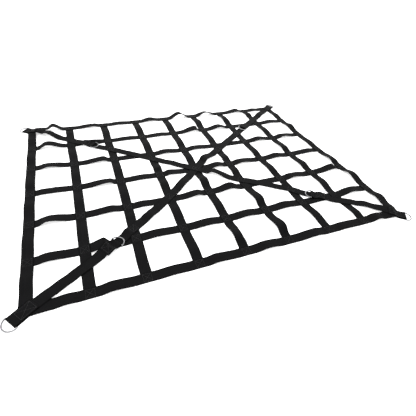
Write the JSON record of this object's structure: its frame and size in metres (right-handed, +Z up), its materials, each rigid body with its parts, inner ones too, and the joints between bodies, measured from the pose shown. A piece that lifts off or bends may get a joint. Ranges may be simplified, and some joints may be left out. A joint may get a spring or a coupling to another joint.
{
  "type": "cargo net",
  "caption": "Flat black webbing cargo net, a rectangular grid of sewn straps with crossed diagonals, folded corner tabs and swinging D-rings, laid out in loose waves.",
  "frame": {"origin": "middle of the net's outline, on the ground that it lies on", "axes": "+X along the near edge from left to right, +Y from the near edge to the far edge, +Z up"},
  "size_m": [1.7708, 1.3436, 0.0366],
  "materials": {
    "webbing": "woven black polyester webbing, lengthwise ribs, dull sheen",
    "tab_webbing": "woven black polyester webbing, folded and sewn",
    "ring_metal": "nickel-plated round steel wire, bright",
    "thread": "bonded black sewing thread"
  },
  "bodies": {
    "net": {"near_border_strap": "webbing", "far_border_strap": "webbing", "left_border_strap": "webbing", "right_border_strap": "webbing", "row_strap_1": "webbing", "row_strap_2": "webbing", "row_strap_3": "webbing", "row_strap_4": "webbing", "row_strap_5": "webbing", "column_strap_1": "webbing", "column_strap_2": "webbing", "column_strap_3": "webbing", "column_strap_4": "webbing", "column_strap_5": "webbing", "column_strap_6": "webbing", "column_strap_7": "webbing", "diagonal_strap_lower": "webbing", "diagonal_strap_upper": "webbing", "near_left_corner_tab": "tab_webbing", "near_right_corner_tab": "tab_webbing", "far_left_corner_tab": "tab_webbing", "far_right_corner_tab": "tab_webbing", "near_left_ring_loop": "tab_webbing", "near_right_ring_loop": "tab_webbing", "far_left_ring_loop": "tab_webbing", "far_right_ring_loop": "tab_webbing", "crossing_stitches": "thread", "border_stitches": "thread", "diagonal_stitches": "thread", "corner_tab_stitches": "thread", "ring_loop_stitches": "thread"},
    "near_left_corner_ring": {"near_left_corner_ring": "ring_metal"},
    "near_right_corner_ring": {"near_right_corner_ring": "ring_metal"},
    "far_left_corner_ring": {"far_left_corner_ring": "ring_metal"},
    "far_right_corner_ring": {"far_right_corner_ring": "ring_metal"},
    "near_left_inner_ring": {"near_left_inner_ring": "ring_metal"},
    "near_right_inner_ring": {"near_right_inner_ring": "ring_metal"},
    "far_left_inner_ring": {"far_left_inner_ring": "ring_metal"},
    "far_right_inner_ring": {"far_right_inner_ring": "ring_metal"}
  },
  "joints": [
    {"name": "near_left_corner_ring_swing", "type": "hinge", "parent": "net", "child": "near_left_corner_ring", "pos_m": [-0.8544, -0.6408, 0.0044], "axis": [-0.6, 0.8, 0], "range_deg": [-130, 140]},
    {"name": "near_left_inner_ring_swing", "type": "hinge", "parent": "net", "child": "near_left_inner_ring", "pos_m": [-0.48881, -0.40826, 0.0092], "axis": [0.6, -0.8, 0], "range_deg": [0, 150]},
    {"name": "near_right_corner_ring_swing", "type": "hinge", "parent": "net", "child": "near_right_corner_ring", "pos_m": [0.8544, -0.6408, 0.0044], "axis": [-0.6, -0.8, 0], "range_deg": [-130, 140]},
    {"name": "near_right_inner_ring_swing", "type": "hinge", "parent": "net", "child": "near_right_inner_ring", "pos_m": [0.4944, -0.3708, 0.0092], "axis": [0.6, 0.8, 0], "range_deg": [0, 150]},
    {"name": "far_left_corner_ring_swing", "type": "hinge", "parent": "net", "child": "far_left_corner_ring", "pos_m": [-0.8544, 0.6408, 0.0044], "axis": [0.6, 0.8, 0], "range_deg": [-130, 140]},
    {"name": "far_left_inner_ring_swing", "type": "hinge", "parent": "net", "child": "far_left_inner_ring", "pos_m": [-0.4928, 0.3696, 0.0092], "axis": [-0.6, -0.8, 0], "range_deg": [0, 150]},
    {"name": "far_right_corner_ring_swing", "type": "hinge", "parent": "net", "child": "far_right_corner_ring", "pos_m": [0.8544, 0.6408, 0.0044], "axis": [0.6, -0.8, 0], "range_deg": [-130, 140]},
    {"name": "far_right_inner_ring_swing", "type": "hinge", "parent": "net", "child": "far_right_inner_ring", "pos_m": [0.4793, 0.36427, 0.0092], "axis": [-0.6, 0.8, 0], "range_deg": [0, 150]}
  ]
}
